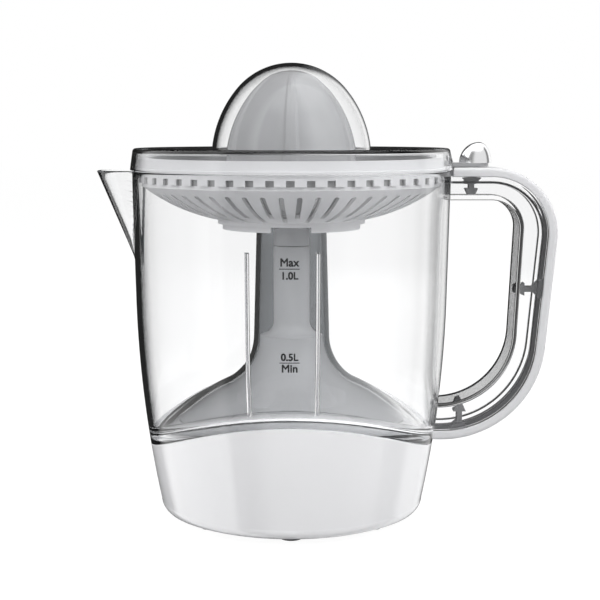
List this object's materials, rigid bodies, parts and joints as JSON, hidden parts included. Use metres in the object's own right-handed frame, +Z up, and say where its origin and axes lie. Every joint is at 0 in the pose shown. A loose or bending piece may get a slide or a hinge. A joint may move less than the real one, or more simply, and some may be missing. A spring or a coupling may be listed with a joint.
{
  "type": "citrus press juicer",
  "caption": "Electric citrus press: a lift-off clear jug with handle and spout over a motor base, a slotted strainer with pulp control, a fluted reamer cone and a clear dust cover.",
  "frame": {"origin": "on the jug's axis, level with the soles of the feet", "axes": "+Z up along the spindle, +X towards the handle, -X towards the spout, -Y to the front"},
  "size_m": [0.2148, 0.15, 0.2128],
  "materials": {
    "clear_plastic": "clear, polished",
    "white_plastic": "white, glossy",
    "grip_plastic": "pale grey, satin",
    "grey_plastic": "mid grey, satin",
    "strainer_plastic": "light grey, satin",
    "dark_plastic": "black",
    "gear_plastic": "natural acetal",
    "chrome": "polished",
    "rubber": "grey rubber",
    "steel": "bright steel",
    "motor_steel": "zinc-plated sheet",
    "copper": "enamelled copper wire",
    "magnet": "sintered ferrite",
    "bronze": "sintered bronze"
  },
  "bodies": {
    "base": {"base_shell": "white_plastic", "motor_tower": "grey_plastic", "bottom_plate": "white_plastic", "plate_screws": "steel", "tower_screws": "steel", "rubber_feet": "rubber", "cable_gland": "rubber", "motor_can": "motor_steel", "coil_bobbin": "gear_plastic", "coil_winding": "copper", "gear_plate": "motor_steel", "rotor_bushes": "bronze", "idler_stud": "steel", "gearbox_cover": "grey_plastic", "gearbox_screws": "steel", "switch_body": "dark_plastic", "tower_bush": "bronze", "shaft_seal": "rubber"},
    "rotor": {"rotor_magnet": "magnet", "rotor_shaft": "steel", "rotor_pinion": "gear_plastic"},
    "idler": {"idler_gear": "gear_plastic"},
    "output": {"output_gear": "gear_plastic", "return_spring": "steel"},
    "spindle": {"drive_spindle": "steel", "spring_collar": "gear_plastic"},
    "plunger": {"switch_plunger": "dark_plastic"},
    "jug_with_handle": {"jug": "clear_plastic", "jug_handle": "clear_plastic", "handle_grip": "grip_plastic", "handle_clips": "dark_plastic"},
    "strainer_bowl": {"strainer": "strainer_plastic"},
    "pulp_control": {"pulp_sieve": "grey_plastic", "pulp_knob": "chrome"},
    "sleeve": {"drive_sleeve": "grey_plastic"},
    "cone": {"reamer_cone": "grey_plastic"},
    "cover": {"dust_cover": "clear_plastic"}
  },
  "joints": [
    {"name": "rotor_spin", "type": "hinge", "parent": "base", "child": "rotor", "pos_m": [0, 0, 0.02], "axis": [0, 0, 1], "continuous": true},
    {"name": "idler_spin", "type": "hinge", "parent": "base", "child": "idler", "pos_m": [0, 0.0225, 0.035], "axis": [0, 0, 1], "continuous": true},
    {"name": "drive_spin", "type": "hinge", "parent": "base", "child": "output", "pos_m": [0, 0, 0.045], "axis": [0, 0, 1], "continuous": true},
    {"name": "spindle_press", "type": "slide", "parent": "output", "child": "spindle", "axis": [0, 0, 1], "range_m": [-0.0025, 0], "stiffness_N_per_m": 2000, "springref_m": 0.0015, "deforming": ["return_spring"]},
    {"name": "switch_press", "type": "slide", "parent": "base", "child": "plunger", "axis": [0, 0, 1], "range_m": [-0.0025, 0]},
    {"name": "jug_lift", "type": "slide", "parent": "base", "child": "jug_with_handle", "axis": [0, 0, 1], "range_m": [0, 0.14]},
    {"name": "strainer_lift", "type": "slide", "parent": "jug_with_handle", "child": "strainer_bowl", "axis": [0, 0, 1], "range_m": [0, 0.06]},
    {"name": "pulp_turn", "type": "hinge", "parent": "strainer_bowl", "child": "pulp_control", "pos_m": [0, 0, 0.165], "axis": [0, 0, 1], "range_deg": [-3.4, 3.4]},
    {"name": "sleeve_spin", "type": "hinge", "parent": "strainer_bowl", "child": "sleeve", "pos_m": [0, 0, 0.145], "axis": [0, 0, 1], "continuous": true},
    {"name": "cone_press", "type": "slide", "parent": "sleeve", "child": "cone", "axis": [0, 0, 1], "range_m": [-0.0025, 0]},
    {"name": "cover_lift", "type": "slide", "parent": "strainer_bowl", "child": "cover", "axis": [0, 0, 1], "range_m": [0, 0.07]}
  ],
  "couplings": [
    {"joint": "idler_spin", "follows": "rotor_spin", "ratio": -0.36364},
    {"joint": "drive_spin", "follows": "rotor_spin", "ratio": 0.13223},
    {"joint": "sleeve_spin", "follows": "rotor_spin", "ratio": 0.13223},
    {"joint": "switch_press", "follows": "spindle_press", "ratio": 1},
    {"joint": "cone_press", "follows": "spindle_press", "ratio": 1}
  ]
}
